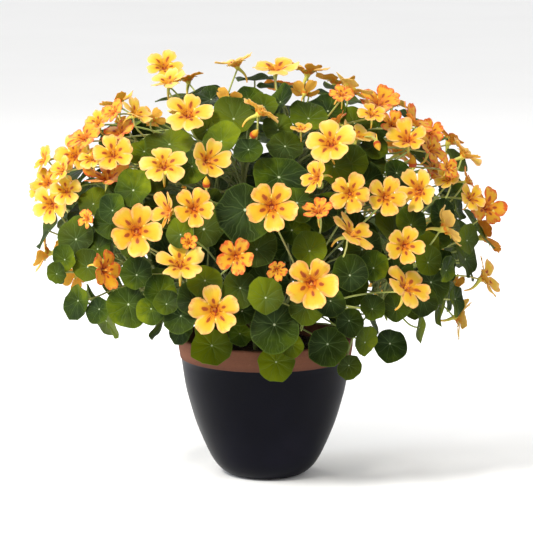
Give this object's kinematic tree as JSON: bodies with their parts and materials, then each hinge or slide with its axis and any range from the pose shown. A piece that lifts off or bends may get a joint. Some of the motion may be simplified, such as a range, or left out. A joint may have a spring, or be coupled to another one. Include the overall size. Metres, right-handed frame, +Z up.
{
  "type": "potted nasturtium plant",
  "caption": "Bushy nasturtium with round leaves and spurred yellow blooms in a glazed round pot with a bare clay rim.",
  "frame": {"origin": "centre of the pot's flat base", "axes": "+Z up, -Y towards the front that is seen in the picture, +X to its right"},
  "size_m": [0.5363, 0.4635, 0.4865],
  "materials": {
    "pot": "stoneware with a glossy blue-black glaze, and a bare terracotta band round the rim",
    "soil": "moist dark potting soil with bark crumbs",
    "foliage": "smooth matt green leaves with pale veins, pale green stalks",
    "petals_cream": "soft cream-yellow petals with a dark orange mark",
    "petals_gold": "soft golden petals with a dark orange mark",
    "petals_flame": "soft petals, orange-red over gold"
  },
  "bodies": {
    "root": {"pot": "pot", "soil": "soil", "leafy_stem_1": "foliage", "leafy_stem_2": "foliage", "leafy_stem_3": "foliage", "leafy_stem_4": "foliage", "leafy_stem_5": "foliage", "leafy_stem_6": "foliage", "leafy_stem_7": "foliage", "leafy_stem_8": "foliage", "flower_01": "petals_gold", "flower_02": "petals_gold", "flower_03": "petals_gold", "flower_04": "petals_gold", "flower_05": "petals_gold", "flower_06": "petals_gold", "flower_07": "petals_flame", "flower_08": "petals_cream", "flower_09": "petals_flame", "flower_10": "petals_cream", "flower_11": "petals_cream", "flower_12": "petals_cream", "flower_13": "petals_gold", "flower_14": "petals_gold", "flower_15": "petals_gold", "flower_16": "petals_flame", "flower_17": "petals_gold", "flower_18": "petals_cream", "flower_19": "petals_flame", "flower_20": "petals_flame", "flower_21": "petals_flame", "flower_22": "petals_cream", "flower_23": "petals_cream", "flower_24": "petals_cream", "flower_25": "petals_cream", "flower_26": "petals_cream", "flower_27": "petals_gold", "flower_28": "petals_cream", "flower_29": "petals_flame", "flower_30": "petals_cream", "flower_31": "petals_cream", "flower_32": "petals_flame", "flower_33": "petals_gold", "flower_34": "petals_flame", "flower_35": "petals_gold", "flower_36": "petals_gold", "flower_37": "petals_gold", "flower_38": "petals_gold", "flower_39": "petals_cream", "flower_40": "petals_flame", "flower_41": "petals_gold", "flower_42": "petals_gold", "flower_43": "petals_gold", "flower_44": "petals_cream", "flower_45": "petals_flame", "flower_46": "petals_cream", "flower_47": "petals_flame", "flower_48": "petals_gold", "flower_49": "petals_flame", "flower_50": "petals_flame"}
  },
  "joints": []
}
